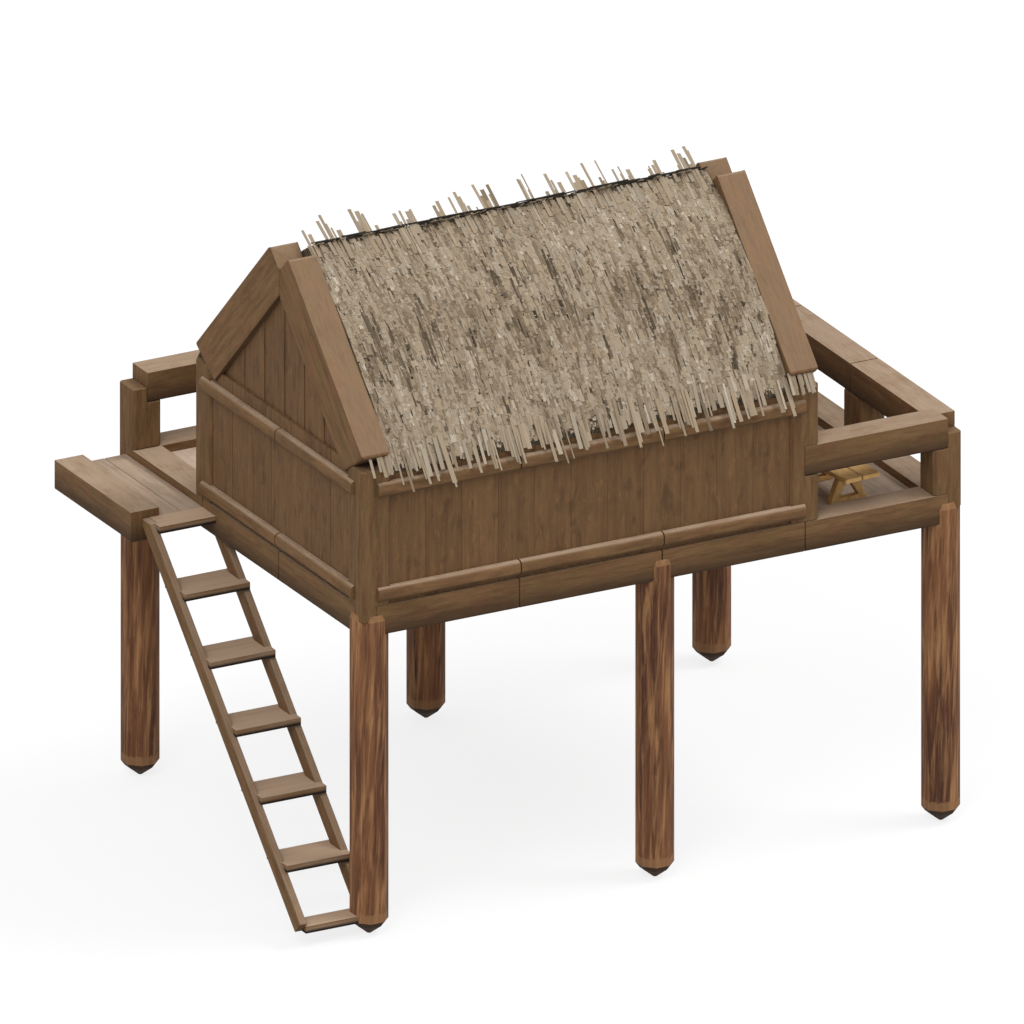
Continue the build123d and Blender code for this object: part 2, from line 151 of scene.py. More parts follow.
class StrawLook(bpy.types.PropertyGroup):
    """Thatch"""

    slope_strips: number_of("Strips", "Flat bundles laid on one slope", 14000, 100)
    width: length("Strip width", "Middling width of a flat bundle of straw", 0.026)
    reach: length("Strip length", "Middling length of a flat bundle of straw", 0.125)
    thick: length("Strip thickness", "Thickness of a flat bundle of straw", 0.004)
    eave_tufts: number_of("Eave tufts", "Tufts hanging from one eave", 22)
    eave_reach: length("Eave reach", "How far the longest bundles hang past the closed eave", 0.3)
    ridge_tufts: number_of("Ridge tufts", "Tufts standing past the ridge", 19)
    ridge_reach: length("Ridge reach", "How far the longest bundles stand past the ridge", 0.375)
    stains: number_of("Stains", "Dark, rotten bundles on one slope", 130, 0)
    # The darkest straw tone: painted shade in the strips along the ridge, and part of the colour of
    # rotten straw.
    shadow: colour("Shadow straw", "Old straw deep in the thatch", paint(36, 30, 22))
    brown: colour("Brown straw", "Stained straw", paint(114, 98, 78))
    grey: colour("Grey straw", "Weathered straw", paint(147, 136, 119))
    tan: colour("Tan straw", "Straw with some yellow left", paint(150, 131, 107))
    pale: colour("Pale straw", "Clean straw", paint(180, 169, 152))


class BenchLook(bpy.types.PropertyGroup):
    """Bench on the open deck"""

    # The bench's grain colours are paler than its wood's own: painted light that offsets the shade
    # on the open deck.
    light: colour("Light grain", "Early wood of the bench", paint(228, 186, 122))
    dark: colour("Dark grain", "Late wood of the bench", paint(202, 158, 98))
    # Also painted shade: the bench's undersides.
    soot_and_shade: colour("Soot", "Undersides of the bench", paint(50, 36, 22))
    edge: length("Worn edge", "Rounding of the bench's edges", 0.016)


class StageLook(bpy.types.PropertyGroup):
    """Floor, light and camera"""

    floor: colour("Floor", "The pale floor", (0.9, 0.9, 0.9))
    bounce: colour("Bounce", "The floor as the house is lit by it", (0.5, 0.5, 0.5))
    glow: strength_of("Glow", "Share of plain white in the floor", 0.8, 1)
    sky: strength_of("Sky", "Strength of the even light", 0.75)
    left_lamp: strength_of("Left lamp", "Strength of the soft lamp on the left", 1.0)
    right_lamp: strength_of("Right lamp", "Strength of the soft lamp on the right", 1.5)
    metres_per_pixel: length("Pixel", "Size of one pixel of the picture", 0.01)


class HouseLook(bpy.types.PropertyGroup):
    """All that can be changed in the looks of the house"""

    timber: PointerProperty(type=TimberLook)
    stilt: PointerProperty(type=StiltLook)
    plank: PointerProperty(type=PlankLook)
    straw: PointerProperty(type=StrawLook)
    bench: PointerProperty(type=BenchLook)
    stage: PointerProperty(type=StageLook)


class Socket:
    """A shader output that takes part in Python arithmetic: each expression adds its Math nodes."""

    def __init__(self, nodes, link):
        self.nodes = nodes
        self.link = link

    def math(self, operation, *terms):
        return self.nodes.node("ShaderNodeMath", {"operation": operation}, dict(enumerate(terms)))

    def __add__(self, other):
        return self.math("ADD", self, other)

    def __sub__(self, other):
        return self.math("SUBTRACT", self, other)

    def __rsub__(self, other):
        return self.math("SUBTRACT", other, self)

    def __mul__(self, other):
        return self.math("MULTIPLY", self, other)

    __radd__ = __add__
    __rmul__ = __mul__

    def __abs__(self):
        return self.math("ABSOLUTE", self)

    def fraction(self):
        """What is left over after the whole number."""
        return self.math("FRACT", self)

    def ease(self, low, high):
        """0 at or below low, 1 at or above high, and smooth between."""
        return self.nodes.node(
            "ShaderNodeMapRange",
            {"interpolation_type": "SMOOTHSTEP"},
            {"Value": self, "From Min": low, "From Max": high},
        )


class Nodes:
    """The nodes of a finish or of the sky."""

    def __init__(self, tree):
        self.tree = tree

    def feed(self, socket, value):
        """Link a socket to another, or set its own value."""
        if isinstance(value, Socket):
            self.tree.links.new(value.link, socket)
        elif socket.type == "RGBA":
            socket.default_value = (*value[:3], 1)
        else:
            socket.default_value = value

    def node(self, kind, settings=None, sockets=None, output=0):
        """Add one node: its type, its settings, what its sockets take and the output wanted."""
        made = self.tree.nodes.new(kind)
        for key, value in (settings or {}).items():
            setattr(made, key, value)
        for key, value in (sockets or {}).items():
            self.feed(made.inputs[key], value)
        return Socket(self, made.outputs[output])

    def seen(self):
        """1 for the rays that show a background: to the camera, in gloss and through glass."""
        rays = ("Is Camera Ray", "Is Glossy Ray", "Is Transmission Ray")
        camera, gloss, glass = (self.node("ShaderNodeLightPath", output=ray) for ray in rays)
        return camera + gloss + glass


class Finish(Nodes):
    """One material and the nodes that make it."""

    def __init__(self, name):
        self.material = bpy.data.materials.new(name)
        self.material.use_nodes = True
        super().__init__(self.material.node_tree)
        self.shader = self.tree.nodes["Principled BSDF"]

    def mix(self, share, first, second):
        """A colour between two colours."""
        return self.node("ShaderNodeMix", {"data_type": "RGBA"}, {0: share, 6: first, 7: second}, 2)

    def place(self):
        """The point in the frame, which is also the object's own space."""
        return self.node("ShaderNodeTexCoord", output="Object")

    def grain(self, turn, along, across):
        """Space stretched along the grain: turn takes X to the grain's direction."""
        return self.node(
            "ShaderNodeMapping",
            {"vector_type": "TEXTURE"},
            {"Vector": self.place(), "Rotation": turn, "Scale": (along, across, across)},
        )

    def noise(self, space, scale=1.0, detail=4.0, rough=0.6, bend=0.0):
        """Soft noise, about 0.5 on average."""
        return self.node(
            "ShaderNodeTexNoise",
            None,
            {
                "Vector": space,
                "Scale": scale,
                "Detail": detail,
                "Roughness": rough,
                "Distortion": bend,
            },
        )

    def tone(self):
        """The tone that each board or straw was given."""
        return self.node("ShaderNodeAttribute", {"attribute_name": "tone"}, output="Fac")

    def facing(self, axis):
        """How far the surface faces along an axis, from -1 to 1."""
        normal = self.node("ShaderNodeNewGeometry", output="Normal")
        return self.node("ShaderNodeSeparateXYZ", None, {"Vector": normal}, axis)

    def course(self, low, pitch, tall):
        """Height on one of several level pieces: 0 at its lower edge and 1 at its upper."""
        height = self.node("ShaderNodeSeparateXYZ", None, {"Vector": self.place()}, Z)
        return ((height + (EASE - low)) * (1 / pitch)).fraction() * (pitch / tall)

    def surface(self, base, rough, height, strength, distance):
        """Join colour, roughness and relief to the shader."""
        relief = self.node(
            "ShaderNodeBump", None, {"Strength": strength, "Distance": distance, "Height": height}
        )
        self.feed(self.shader.inputs["Base Color"], base)
        self.feed(self.shader.inputs["Roughness"], rough)
        self.feed(self.shader.inputs["Normal"], relief)
        self.shader.inputs["Specular IOR Level"].default_value = DULL_GLOSS
        return self.material


QUARTER = math.pi / 2
EASE = 0.01
STILT_LEAN = 0.97
DULL_GLOSS = 0.25

# How long and how wide the streaks of each kind run, in metres
TIMBER_STREAK = (0.5, 0.06)
TIMBER_END = (0.5, 0.05)
TIMBER_FIBRE = (0.2, 0.009)
TIMBER_FLECK = (0.1, 0.035)
STILT_BAND = (2.2, 0.14)
STILT_STREAK = (0.8, 0.05)
STILT_DASH = (0.3, 0.018)
BOARD_STREAK = (0.7, 0.045)
BOARD_FIBRE = (0.25, 0.008)
BOARD_FLECK = (0.12, 0.04)
BOARD_BLOTCH = (0.3, 0.12)
BOARD_SMUDGE = (0.32, 0.13)
STRAW_FIBRE = (0.12, 0.008)
STRAW_STEM = (0.5, 0.012)

# How many patches come to a metre, and how far boards of other tones lie from each other in them
TIMBER_PATCH = 4.5
TIMBER_STAIN = 3.1
BOARD_PATCH = 2.3
TONE_SHIFT = 40
STRAW_LEANINGS = 977

# Roughness: of the smooth grain, and how much more the raised fibres have
DRY_WOOD = (0.72, 0.22)
SPLIT_WOOD = (0.68, 0.25)
LOOSE_STRAW = 0.85
PACKED_STRAW = 0.9

# Relief: its strength and its depth in metres
TIMBER_RELIEF = (0.35, 0.006)
STILT_RELIEF = (0.45, 0.008)
BOARD_RELIEF = (0.35, 0.005)
STRAW_RELIEF = (0.25, 0.003)
BED_RELIEF = (0.8, 0.012)


def slope_angle():
    """Pitch of the gable boards, from the box of one of them."""
    low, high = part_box("left_front_gable_board")
    post_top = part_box("front_corner_posts")[1].z
    return math.atan2(high.z - post_top, high.y - low.y)


GRAINS = {
    "x": (0, 0, 0),
    "y": (0, 0, QUARTER),
    "z": (0, -QUARTER, 0),
    "leaning": (0, -QUARTER * STILT_LEAN, 0),
    "front_slope": (0, -slope_angle(), QUARTER),
    "back_slope": (0, slope_angle(), QUARTER),
}
END_AXES = {"x": X, "y": Y}


def rough(fibre, smooth, more):
    """Roughness that grows where the fibres stand up."""
    return smooth + more * fibre


def hewn_timber(name, look, grain, weathering_and_light_share, course=None):
    """Weathered timber: tops paler by a share, from bleaching and painted top light; painted shade
    underneath and low on courses.
    """
    finish = Finish(name)
    turn = GRAINS[grain]
    streak = finish.noise(finish.grain(turn, *TIMBER_STREAK), 1, 6, 0.6, 0.4)
    fibre = finish.noise(finish.grain(turn, *TIMBER_FIBRE), 1, 3, 0.6)
    if grain in END_AXES:
        end = abs(finish.facing(END_AXES[grain])).ease(0.7, 0.9)
        upright = finish.noise(finish.grain(GRAINS["z"], *TIMBER_END), 1, 5, 0.6)
        streak = streak * (1 - end) + upright * end
    patch = finish.noise(finish.place(), TIMBER_PATCH, 4, 0.6)
    stain = finish.noise(finish.place(), TIMBER_STAIN, 3, 0.55)
    up = finish.facing(Z)
    base = finish.mix(streak.ease(0.28, 0.72), look.dark, look.light)
    base = finish.mix(patch.ease(0.48, 0.7) * 0.6, base, look.olive)
    base = finish.mix((1 - patch).ease(0.52, 0.72) * 0.55, base, look.red)
    fleck = finish.noise(finish.grain(turn, *TIMBER_FLECK), 1, 4, 0.65)
    base = finish.mix(fleck.ease(0.56, 0.74) * 0.35, base, look.amber)
    base = finish.mix((1 - fleck).ease(0.56, 0.74) * 0.35, base, look.dark)
    base = finish.mix(fibre.ease(0.58, 0.72) * 0.22, base, look.soot_and_shade)
    if grain == "z":
        base = finish.mix(0.12, base, look.soot_and_shade)
    # Painted shade: coursed timbers darker towards their lower edge.
    if course:
        share = finish.course(*course)
        base = finish.mix((1 - share.ease(-0.05, 0.9)) * 0.85, base, look.soot_and_shade)
    wear = streak.ease(0.4, 0.7) * 0.5 + stain.ease(0.5, 0.7) * 0.3 + fibre.ease(0.4, 0.7) * 0.3
    top = finish.mix(wear, look.weathered_and_lit_top, look.worn)
    # Tops paler: partly bleaching, partly painted top light.
    base = finish.mix(up.ease(0.4, 0.98) * (0.86 + 0.2 * fibre) * weathering_and_light_share, base, top)
    base = finish.mix(fibre.ease(0.5, 0.72) * 0.25, base, look.dark)
    # Painted shade on faces that look down.
    base = finish.mix((0 - up).ease(0.15, 1) * 0.6, base, look.soot_and_shade)
    height = streak * 0.4 + fibre * 0.6
    return finish.surface(base, rough(fibre, *DRY_WOOD), height, *TIMBER_RELIEF)


def heartwood(look):
    """Stilts: short red, tan and dark streaks running up the shaft, with paler cut bevels and
    painted shade at the point.
    """
    finish = Finish("stilt_heartwood")
    band = finish.noise(finish.grain(GRAINS["z"], *STILT_BAND), 1, 4, 0.6, 0.6)
    streak = finish.noise(finish.grain(GRAINS["leaning"], *STILT_STREAK), 1, 5, 0.6, 0.5)
    dash = finish.noise(finish.grain(GRAINS["leaning"], *STILT_DASH), 1, 3, 0.6)
    up = finish.facing(Z)
    base = finish.mix(band.ease(0.34, 0.62), look.dark, look.red)
    base = finish.mix(streak.ease(0.44, 0.72) * 0.75, base, look.tan)
    base = finish.mix((1 - streak).ease(0.5, 0.74) * 0.6, base, look.dark)
    base = finish.mix(dash.ease(0.54, 0.74) * 0.25, base, look.tan)
    base = finish.mix((1 - dash).ease(0.56, 0.76) * 0.3, base, look.dark)
    rise = finish.node("ShaderNodeSeparateXYZ", None, {"Vector": finish.place()}, Z)
    over = rise + (dash - 0.5) * look.band
    band_top = look.shoulder + look.band
    base = finish.mix((1 - over.ease(band_top - EASE, band_top + EASE)) * 0.65, base, look.cut)
    base = finish.mix(up.ease(0.15, 0.4) * 0.8, base, look.cut)
    # Painted shade on faces that look down, which darkens the point.
    base = finish.mix((0 - up).ease(0.2, 0.4) * 0.92, base, look.tip)
    height = band * 0.3 + streak * 0.6 + dash * 0.4
    return finish.surface(base, rough(dash, *SPLIT_WOOD), height, *STILT_RELIEF)


def board_wood(name, grain, light, dark, soot_and_shade, amber=None, weathered_and_lit_top=None, course=None):
    """Sawn boards in their own tones, with flecks; painted shade underneath and low on courses;
    where asked, tops paler from wear and painted top light.
    """
    finish = Finish(name)
    turn = GRAINS[grain]
    tone = finish.tone()
    apart = finish.node("ShaderNodeCombineXYZ", None, {0: tone * TONE_SHIFT})
    shifted = finish.node(
        "ShaderNodeVectorMath",
        {"operation": "ADD"},
        {0: finish.grain(turn, *BOARD_STREAK), 1: apart},
    )
    streak = finish.noise(shifted, 1, 6, 0.62)
    fibre = finish.noise(finish.grain(turn, *BOARD_FIBRE), 1, 3, 0.6)
    patch = finish.noise(finish.place(), BOARD_PATCH, 3, 0.6)
    up = finish.facing(Z)
    base = finish.mix(streak.ease(0.3, 0.72) * 0.65 + tone * 0.35, dark, light)
    base = finish.mix(patch.ease(0.52, 0.75) * 0.4, base, dark)
    if amber:
        fleck = finish.noise(finish.grain(turn, *BOARD_FLECK), 1, 4, 0.65)
        base = finish.mix(fleck.ease(0.55, 0.74) * 0.4, base, amber)
        base = finish.mix((1 - fleck).ease(0.54, 0.72) * 0.45, base, dark)
        blotch = finish.noise(finish.grain(turn, *BOARD_BLOTCH), 1, 4, 0.6, 0.5)
        base = finish.mix(blotch.ease(0.5, 0.7) * 0.3, base, soot_and_shade)
    else:
        smudge = finish.noise(finish.grain(turn, *BOARD_SMUDGE), 1, 4, 0.65, 0.4)
        base = finish.mix(smudge.ease(0.5, 0.68) * 0.2, base, soot_and_shade)
        base = finish.mix(fibre.ease(0.52, 0.72) * 0.14, base, soot_and_shade)
    if course:
        # Painted shade: each course darker towards its lower edge.
        base = finish.mix(1 - finish.course(*course).ease(0.3, 0.75), base, soot_and_shade)
    if weathered_and_lit_top:
        # Tops paler where asked: real wear and painted top light.
        top = finish.mix(streak.ease(0.4, 0.75) * 0.5, weathered_and_lit_top, light)
        base = finish.mix(up.ease(0.2, 0.95) * 0.85, base, top)
    # Painted shade on faces that look down.
    base = finish.mix((0 - up).ease(0.3, 0.9) * 0.7, base, soot_and_shade)
    height = streak * 0.5 + fibre * 0.5
    return finish.surface(base, rough(fibre, *DRY_WOOD), height, *BOARD_RELIEF)


def straw_finish(look):
    """Dry straw in flat bundles: each has a tone and leans to grey or to tan."""
    finish = Finish("loose_straw")
    tone = finish.tone()
    lean = finish.node(
        "ShaderNodeTexWhiteNoise", {"noise_dimensions": "1D"}, {"W": tone * STRAW_LEANINGS}
    )
    fibre = finish.noise(finish.grain(GRAINS["front_slope"], *STRAW_FIBRE), 1, 2, 0.5)
    deep = tone + (fibre - 0.5) * 0.22
    base = finish.mix(deep.ease(0.0, 0.3), look.shadow, look.brown)
    base = finish.mix(deep.ease(0.25, 0.6), base, finish.mix(lean, look.grey, look.tan))
    base = finish.mix(deep.ease(0.62, 1.0), base, look.pale)
    return finish.surface(base, LOOSE_STRAW, fibre, *STRAW_RELIEF)


def straw_bed(look):
    """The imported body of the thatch, seen between the bundles and from below."""
    finish = Finish("straw_bed")
    stems = finish.noise(finish.grain(GRAINS["front_slope"], *STRAW_STEM), 1, 4, 0.65)
    base = finish.mix(stems.ease(0.35, 0.7), look.shadow, look.brown)
    return finish.surface(base, PACKED_STRAW, stems, *BED_RELIEF)


class Batch:
    """Many small closed meshes joined into one piece, each with its tone."""

    def __init__(self):
        self.points = []
        self.faces = []
        self.tones = []

    def add(self, points, faces, tone):
        start = len(self.points)
        self.points += [tuple(p) for p in points]
        self.faces += [tuple(start + i for i in face) for face in faces]
        self.tones += [tone] * len(points)

    def add_bmesh(self, shape, tone):
        shape.verts.index_update()
        faces = [[v.index for v in face.verts] for face in shape.faces]
        self.add([v.co for v in shape.verts], faces, tone)

    def build(self, name, material, slot, *nodes):
        mesh = bpy.data.meshes.new(name)
        mesh.from_pydata(self.points, [], self.faces)
        return finish_piece(name, mesh, self.tones, material, nodes)


def finish_piece(name, mesh, tones, material, nodes):
    """Make a mesh a piece of the house, with its tones, finish, body and nodes."""
    layer = mesh.attributes.new("tone", "FLOAT", "POINT")
    layer.data.foreach_set("value", np.asarray(tones, np.float32))
    mesh.materials.append(material)
    mesh.update()
    piece = bpy.data.objects.new(name, mesh)
    bpy.context.scene.collection.objects.link(piece)
    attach(piece, BODY)
    if nodes:
        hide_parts(*nodes)
    return piece


SAME_POINT = 0.0002
SAME_FACE = 0.0005
SHORTEST_SIDE = 0.001
ROUND_STEPS = 2
ROUND_PROFILE = 0.6
SHARP = math.radians(35)


def dress(node, material, edge):
    """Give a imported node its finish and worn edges."""
    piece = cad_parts[node]
    piece.data.materials.clear()
    piece.data.materials.append(material)
    weld = piece.modifiers.new("joined_corners", "WELD")
    weld.merge_threshold = SAME_POINT
    bevel = piece.modifiers.new("worn_edges", "BEVEL")
    bevel.width = edge
    bevel.segments = ROUND_STEPS
    bevel.limit_method = "ANGLE"
    bevel.angle_limit = SHARP
    bevel.harden_normals = True


def face_outline(node, axis, sign):
    """Outline of a node's outermost flat face on one side, as points in the other two axes."""
    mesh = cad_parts[node].data
    corners = np.array([v.co for v in mesh.vertices])
    level = (sign * corners[:, axis]).max() * sign
    others = [a for a in range(3) if a != axis]
    flat = [tuple(round(c, 4) for c in corner[others]) for corner in corners]
    on_face = np.abs(corners[:, axis] - level) < SAME_FACE
    edges = {}
    for face in mesh.polygons:
        if not all(on_face[i] for i in face.vertices):
            continue
        ring = [flat[i] for i in face.vertices]
        for edge in zip(ring, ring[1:] + ring[:1]):
            if edge[::-1] in edges:
                del edges[edge[::-1]]
            else:
                edges[edge] = True
    follow = {start: end for start, end in edges}
    start = next(iter(follow))
    outline = [start]
    while follow[outline[-1]] != start:
        outline.append(follow[outline[-1]])
    return outline


def clip(outline, axis, limit, sign):
    """The part of an outline on one side of a limit."""
    kept = []
    for a, b in zip(outline, outline[1:] + outline[:1]):
        inside_a = sign * (a[axis] - limit) >= 0
        inside_b = sign * (b[axis] - limit) >= 0
        if inside_a:
            kept.append(a)
        if inside_a != inside_b:
            share = (limit - a[axis]) / (b[axis] - a[axis])
            kept.append(tuple(p + share * (q - p) for p, q in zip(a, b)))
    return kept


def prism(outline, axis, low, high, chamfer):
    """A board with rounded edges: an outline carried from low to high along an axis."""
    others = [a for a in range(3) if a != axis]
    shape = bmesh.new()
    rings = []
    for level in (low, high):
        ring = []
        for point in outline:
            place = Vector((0, 0, 0))
            place[axis] = level
            place[others[0]], place[others[1]] = point
            ring.append(shape.verts.new(place))
        rings.append(ring)
    shape.faces.new(rings[0])
    shape.faces.new(rings[1])
    count = len(outline)
    for i in range(count):
        j = (i + 1) % count
        shape.faces.new((rings[0][i], rings[0][j], rings[1][j], rings[1][i]))
    bmesh.ops.recalc_face_normals(shape, faces=shape.faces)
    bmesh.ops.bevel(
        shape,
        geom=shape.edges[:],
        offset=chamfer,
        segments=ROUND_STEPS,
        profile=ROUND_PROFILE,
        affect="EDGES",
        clamp_overlap=True,
    )
    return shape


def boarded(node, axis, sign, across, width, seam, lean, look, draw, batch):
    """Split a flat panel into boards across it, with one edge of each set back by lean."""
    low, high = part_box(node)
    outline = face_outline(node, axis, sign)
    others = [a for a in range(3) if a != axis]
    step = others.index(across)
    count = max(1, round((high[across] - low[across]) / width))
    pitch = (high[across] - low[across]) / count
    for i in range(count):
        start = low[across] + i * pitch + (seam / 2 if i else 0)
        end = low[across] + (i + 1) * pitch - (seam / 2 if i < count - 1 else 0)
        strip = clip(clip(outline, step, start, 1), step, end, -1)
        strip = [p for n, p in enumerate(strip) if math.dist(p, strip[n - 1]) > SHORTEST_SIDE]
        if len(strip) < 3:
            continue
        shift = draw.uniform(0, look.unevenness)
        board_low = low[axis] + (shift if sign < 0 else 0)
        board_high = high[axis] - (shift if sign > 0 else 0)
        board = prism(strip, axis, board_low, board_high, look.chamfer)
        middle = (board_low + board_high) / 2
        for corner in board.verts:
            if sign * (corner.co[axis] - middle) > 0:
                corner.co[axis] -= sign * lean * (corner.co[across] - start) / (end - start)
        batch.add_bmesh(board, draw.uniform(0.1, 0.9))


def settings():
    """The looks that the user has set."""
    return bpy.context.scene.stilt_house


class STILT_HOUSE_OT_timber(bpy.types.Operator):
    """Finish the beams, posts, rails, boards, battens and ladder"""

    bl_idname = "stilt_house.timber"
    bl_label = "Finish the timber"

    # Groups of like timbers: finish, direction of the grain, share of paler tops (partly bleaching,
    # partly painted top light), nodes
    ring = (
        ("ring_timber_x", "x", 0.68,
         ("front_beams", "back_beams", "front_handrail", "back_handrail")),
        ("ring_timber_y", "y", 0.82,
         ("left_beam", "right_beam", "landing_beam", "right_handrail")),
    )
    plain = (
        ("hewn_timber_x", "x", 0.9,
         ("landing_bearers", "back_sill", "ridge_pole", "front_battens", "back_battens")),
        ("hewn_timber_y", "y", 0.9,
         ("joists", "right_sill", "left_battens", "right_battens")),
        ("hewn_posts", "z", 0.15,
         ("front_corner_posts", "back_corner_posts", "back_rail_posts", "right_rail_posts")),
        ("hewn_stringers", "front_slope", 1.0,
         ("ladder_left_stringer", "ladder_right_stringer")),
    )
    gables = (
        ("front_gable_timber", "front_slope", 0.5,
         ("left_front_gable_board", "right_front_gable_board")),
        ("back_gable_timber", "back_slope", 0.5,
         ("left_back_gable_board", "right_back_gable_board")),
    )

    def execute(self, context):
        look = settings().timber
        beam_low, beam_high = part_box("front_beams")
        rail_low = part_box("front_handrail")[0]
        # Courses of the ring timbers, which carry painted shade towards their lower edge.
        course = (beam_low.z, rail_low.z - beam_low.z, beam_high.z - beam_low.z)
        kinds = (
            (self.ring, look.edge, course),
            (self.plain, look.edge, None),
            (self.gables, look.gable_edge, None),
        )
        for groups, edge, laid in kinds:
            for name, grain, weathering_and_light_share, nodes in groups:
                material = hewn_timber(name, look, grain, weathering_and_light_share, laid)
                for node in nodes:
                    dress(node, material, edge)
        return {"FINISHED"}


class STILT_HOUSE_OT_stilts(bpy.types.Operator):
    """Finish the stilts in red heartwood"""

    bl_idname = "stilt_house.stilts"
    bl_label = "Finish the stilts"

    def execute(self, context):
        material = heartwood(settings().stilt)
        for node in ("front_stilts", "back_stilts"):
            dress(node, material, settings().timber.edge)
        return {"FINISHED"}


class STILT_HOUSE_OT_walls(bpy.types.Operator):
    """Board the walls and gables"""

    bl_idname = "stilt_house.walls"
    bl_label = "Board the walls"

    # Node, the axis that its outer face looks along and which way, and the axis across its boards
    panels = (
        ("front_wall", Y, -1, X),
        ("back_wall", Y, 1, X),
        ("left_wall", X, -1, Y),
        ("left_gable", X, -1, Y),
        ("right_wall_front", X, 1, Y),
        ("right_wall_back", X, 1, Y),
        ("right_gable", X, 1, Y),
    )
    seed = 11

    def execute(self, context):
        look = settings().plank
        draw = np.random.default_rng(self.seed)
        material = board_wood("wall_boards", "z", look.wall, look.wall_dark, look.soot_and_shade, look.amber)
        for node, axis, sign, across in self.panels:
            batch = Batch()
            lean = look.gable_lean if node.endswith("gable") else look.wall_lean
            boarded(node, axis, sign, across, look.wall_width, look.seam, lean, look, draw, batch)
            batch.build(f"{node}_boards", material, "wall_wood", node)
        return {"FINISHED"}


class STILT_HOUSE_OT_decks(bpy.types.Operator):
    """Board the floors and finish the landing and treads"""

    bl_idname = "stilt_house.decks"
    bl_label = "Board the decks"

    seed = 12

    def execute(self, context):
        look = settings().plank
        draw = np.random.default_rng(self.seed)
        along_y = board_wood("deck_boards", "y", look.deck, look.deck_dark, look.wall_dark)
        for node in ("house_floor", "back_deck", "open_deck"):
            batch = Batch()
            boarded(node, Z, 1, X, look.deck_width, 0, 0, look, draw, batch)
            batch.build(f"{node}_boards", along_y, "floor_wood", node)
        landing = board_wood("landing_wood", "y", look.landing, look.landing_dark, look.soot_and_shade)
        dress("landing_boards", landing, look.chamfer)
        low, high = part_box("ladder_treads")
        rise = (high.z - low.z - look.tread_thick) / (look.treads - 1)
        # Courses of the treads, which carry painted shade low on their fronts.
        course = (high.z - look.tread_thick, rise, look.tread_thick)
        treads = board_wood(
            "tread_boards", "x", look.landing_dark, look.wall, look.soot_and_shade, None, look.tread, course
        )
        dress("ladder_treads", treads, look.nosing)
        return {"FINISHED"}


def strip_mesh(name, roots, tips, sides, normals, widths, thick):
    """Flat closed strips of straw with blunt ends."""
    handed = np.sign(np.sum(np.cross(sides, normals) * (tips - roots), axis=1))
    half = sides * (handed * widths / 2)[:, None]
    rise = normals * thick[:, None]
    corners = []
    for centre in (roots, tips):
        corners += [centre - half, centre + half, centre + half + rise, centre - half + rise]
    points = np.stack(corners, axis=1)
    strip = ((3, 2, 1, 0), (4, 5, 6, 7), (0, 1, 5, 4), (1, 2, 6, 5), (2, 3, 7, 6), (3, 0, 4, 7))
    ring = len(corners)
    faces = [tuple(ring * k + i for i in face) for k in range(len(roots)) for face in strip]
    mesh = bpy.data.meshes.new(name)
    mesh.from_pydata(points.reshape(-1, 3), [], faces)
    return mesh, ring


class Slope:
    """The upper surface of one thatch slope, measured from the ridge along the slope."""

    samples = 160
    step = 0.02
    near = 1e-6

    def __init__(self, side):
        self.side = side
        node = f"{side}_thatch"
        self.low, self.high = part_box(node)
        outline = face_outline(node, X, -1)
        self.sign = -1 if abs(self.low.y - ridge_line()) > abs(self.high.y - ridge_line()) else 1
        reach = max(abs(y - ridge_line()) for y, _ in outline)
        self.levels = np.linspace(0, reach, self.samples)
        across = ridge_line() + self.sign * self.levels
        self.heights = np.array([self.top_of(outline, y) for y in across])
        runs = np.hypot(np.diff(self.levels), np.diff(self.heights))
        self.along = np.concatenate([[0], np.cumsum(runs)])
        self.total = self.along[-1]
        board_low, board_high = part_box(f"left_{side}_gable_board")
        heel = max(abs(board_low.y - ridge_line()), abs(board_high.y - ridge_line()))
        self.eave = float(np.interp(heel, self.levels, self.along))

    def top_of(self, outline, y):
        """The highest point of an outline at y."""
        found = []
        for (ya, za), (yb, zb) in zip(outline, outline[1:] + outline[:1]):
            if not min(ya, yb) - self.near <= y <= max(ya, yb) + self.near:
                continue
            if ya == yb:
                found += [za, zb]
            else:
                found.append(za + (y - ya) / (yb - ya) * (zb - za))
        return max(found)

    def gain(self, values, start):
        """How much a value grows over one step along the slope."""
        end = np.interp(start + self.step, self.along, values)
        return end - np.interp(start, self.along, values)

    def point(self, x, s):
        """Points and normals at x and slope distance s, which may pass the ridge or the eave."""
        inner = np.clip(s, 0, self.total)
        level = np.interp(inner, self.along, self.levels)
        height = np.interp(inner, self.along, self.heights)
        start = np.clip(inner, 0, self.total - self.step)
        dh, dz = self.gain(self.levels, start), self.gain(self.heights, start)
        size = np.hypot(dh, dz)
        dh, dz = dh / size, dz / size
        past = s - inner
        y = ridge_line() + self.sign * (level + past * dh)
        z = height + past * dz
        normal = np.stack([np.zeros_like(dh), -self.sign * dz, dh], 1)
        return np.stack([x, y, z], 1), normal

    def lay(self, name, x, s, reach, width, thick, lifts, yaw, tones, material, beyond=-EASE):
        """Lay strips from slope distance s for their reach, turned by yaw off the slope's line.

        The lifts are those of their roots and of their tips off the slope.
        """
        root, normal = self.point(x, s)
        x_tip = np.clip(x + np.tan(yaw) * reach, self.low.x - beyond, self.high.x + beyond)
        tip, tip_normal = self.point(x_tip, s + reach)
        root = root + normal * lifts[0][:, None]
        tip = tip + tip_normal * lifts[1][:, None]
        sides = np.tile([1.0, 0.0, 0.0], (len(x), 1))
        mesh, ring = strip_mesh(name, root, tip, sides, normal, width, thick)
        return finish_piece(name, mesh, np.repeat(tones, ring), material, ())


def ridge_line():
    """Y of the ridge, midway between the front and back thatch."""
    return (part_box("front_thatch")[0].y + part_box("back_thatch")[1].y) / 2


